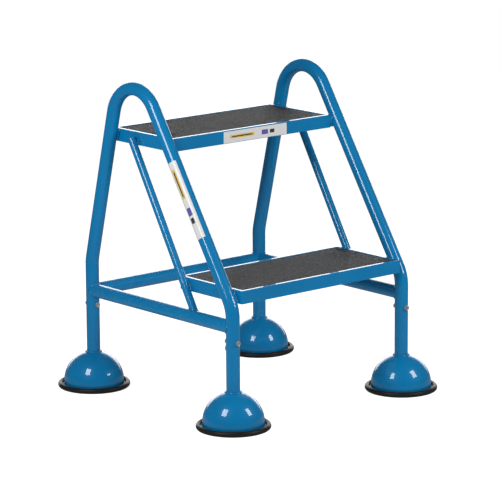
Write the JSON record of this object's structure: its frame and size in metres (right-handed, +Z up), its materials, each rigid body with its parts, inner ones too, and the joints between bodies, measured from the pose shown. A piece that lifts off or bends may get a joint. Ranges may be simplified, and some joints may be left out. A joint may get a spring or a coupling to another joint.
{
  "type": "two-tread step stool",
  "caption": "Welded tubular-steel mounting step with a low and a high grip tread between two hoop handles, on domed feet with sprung castors.",
  "frame": {"origin": "on the floor, at the centre between the four legs", "axes": "+Z up, -Y towards the climbing side, +X to the right seen from the climbing side"},
  "size_m": [0.588, 0.581, 0.6388],
  "materials": {
    "frame_paint": "gloss powder coat, mid blue",
    "grip_surface": "charcoal fine-grained anti-slip sheet",
    "board_ply": "plywood, sealed",
    "ring_rubber": "black moulded rubber",
    "zinc_steel": "bright zinc plate",
    "spring_steel": "drawn spring wire",
    "nylon": "natural nylon",
    "wheel_plastic": "grey non-marking castor wheel",
    "label_vinyl": "white vinyl label with plain colour blocks"
  },
  "bodies": {
    "frame": {"side_hoop_left": "frame_paint", "side_hoop_right": "frame_paint", "side_rail_left": "frame_paint", "side_rail_right": "frame_paint", "rear_rail": "frame_paint", "brace_left": "frame_paint", "brace_right": "frame_paint", "top_tread_frame": "frame_paint", "low_tread_frame": "frame_paint", "top_tread_board": "board_ply", "low_tread_board": "board_ply", "top_tread_grip": "grip_surface", "low_tread_grip": "grip_surface", "top_tread_label": "label_vinyl", "hoop_label": "label_vinyl", "leg_bolts": "zinc_steel", "leg_nuts": "zinc_steel", "dome_fl": "frame_paint", "floor_ring_fl": "ring_rubber", "guide_bush_fl": "nylon", "spring_plug_fl": "nylon", "spring_fl": "spring_steel", "dome_fr": "frame_paint", "floor_ring_fr": "ring_rubber", "guide_bush_fr": "nylon", "spring_plug_fr": "nylon", "spring_fr": "spring_steel", "dome_rl": "frame_paint", "floor_ring_rl": "ring_rubber", "guide_bush_rl": "nylon", "spring_plug_rl": "nylon", "spring_rl": "spring_steel", "dome_rr": "frame_paint", "floor_ring_rr": "ring_rubber", "guide_bush_rr": "nylon", "spring_plug_rr": "nylon", "spring_rr": "spring_steel"},
    "stem_fl": {"castor_stem_fl": "zinc_steel"},
    "fork_fl": {"castor_fork_fl": "zinc_steel", "castor_axle_fl": "zinc_steel"},
    "wheel_fl": {"castor_wheel_fl": "wheel_plastic"},
    "stem_fr": {"castor_stem_fr": "zinc_steel"},
    "fork_fr": {"castor_fork_fr": "zinc_steel", "castor_axle_fr": "zinc_steel"},
    "wheel_fr": {"castor_wheel_fr": "wheel_plastic"},
    "stem_rl": {"castor_stem_rl": "zinc_steel"},
    "fork_rl": {"castor_fork_rl": "zinc_steel", "castor_axle_rl": "zinc_steel"},
    "wheel_rl": {"castor_wheel_rl": "wheel_plastic"},
    "stem_rr": {"castor_stem_rr": "zinc_steel"},
    "fork_rr": {"castor_fork_rr": "zinc_steel", "castor_axle_rr": "zinc_steel"},
    "wheel_rr": {"castor_wheel_rr": "wheel_plastic"}
  },
  "joints": [
    {"name": "castor_spring_fl", "type": "slide", "parent": "frame", "child": "stem_fl", "axis": [0, 0, -1], "range_m": [0, 0.008], "stiffness_N_per_m": 500, "springref_m": 0.02, "deforming": ["spring_fl"]},
    {"name": "castor_swivel_fl", "type": "hinge", "parent": "stem_fl", "child": "fork_fl", "pos_m": [-0.221, -0.2175, 0.045], "axis": [0, 0, 1], "continuous": true},
    {"name": "castor_roll_fl", "type": "hinge", "parent": "fork_fl", "child": "wheel_fl", "pos_m": [-0.221, -0.2025, 0.019], "axis": [1, 0, 0], "continuous": true},
    {"name": "castor_spring_fr", "type": "slide", "parent": "frame", "child": "stem_fr", "axis": [0, 0, -1], "range_m": [0, 0.008], "stiffness_N_per_m": 500, "springref_m": 0.02, "deforming": ["spring_fr"]},
    {"name": "castor_swivel_fr", "type": "hinge", "parent": "stem_fr", "child": "fork_fr", "pos_m": [0.221, -0.2175, 0.045], "axis": [0, 0, 1], "continuous": true},
    {"name": "castor_roll_fr", "type": "hinge", "parent": "fork_fr", "child": "wheel_fr", "pos_m": [0.221, -0.2025, 0.019], "axis": [1, 0, 0], "continuous": true},
    {"name": "castor_spring_rl", "type": "slide", "parent": "frame", "child": "stem_rl", "axis": [0, 0, -1], "range_m": [0, 0.008], "stiffness_N_per_m": 500, "springref_m": 0.02, "deforming": ["spring_rl"]},
    {"name": "castor_swivel_rl", "type": "hinge", "parent": "stem_rl", "child": "fork_rl", "pos_m": [-0.221, 0.2175, 0.045], "axis": [0, 0, 1], "continuous": true},
    {"name": "castor_roll_rl", "type": "hinge", "parent": "fork_rl", "child": "wheel_rl", "pos_m": [-0.221, 0.2325, 0.019], "axis": [1, 0, 0], "continuous": true},
    {"name": "castor_spring_rr", "type": "slide", "parent": "frame", "child": "stem_rr", "axis": [0, 0, -1], "range_m": [0, 0.008], "stiffness_N_per_m": 500, "springref_m": 0.02, "deforming": ["spring_rr"]},
    {"name": "castor_swivel_rr", "type": "hinge", "parent": "stem_rr", "child": "fork_rr", "pos_m": [0.221, 0.2175, 0.045], "axis": [0, 0, 1], "continuous": true},
    {"name": "castor_roll_rr", "type": "hinge", "parent": "fork_rr", "child": "wheel_rr", "pos_m": [0.221, 0.2325, 0.019], "axis": [1, 0, 0], "continuous": true}
  ]
}
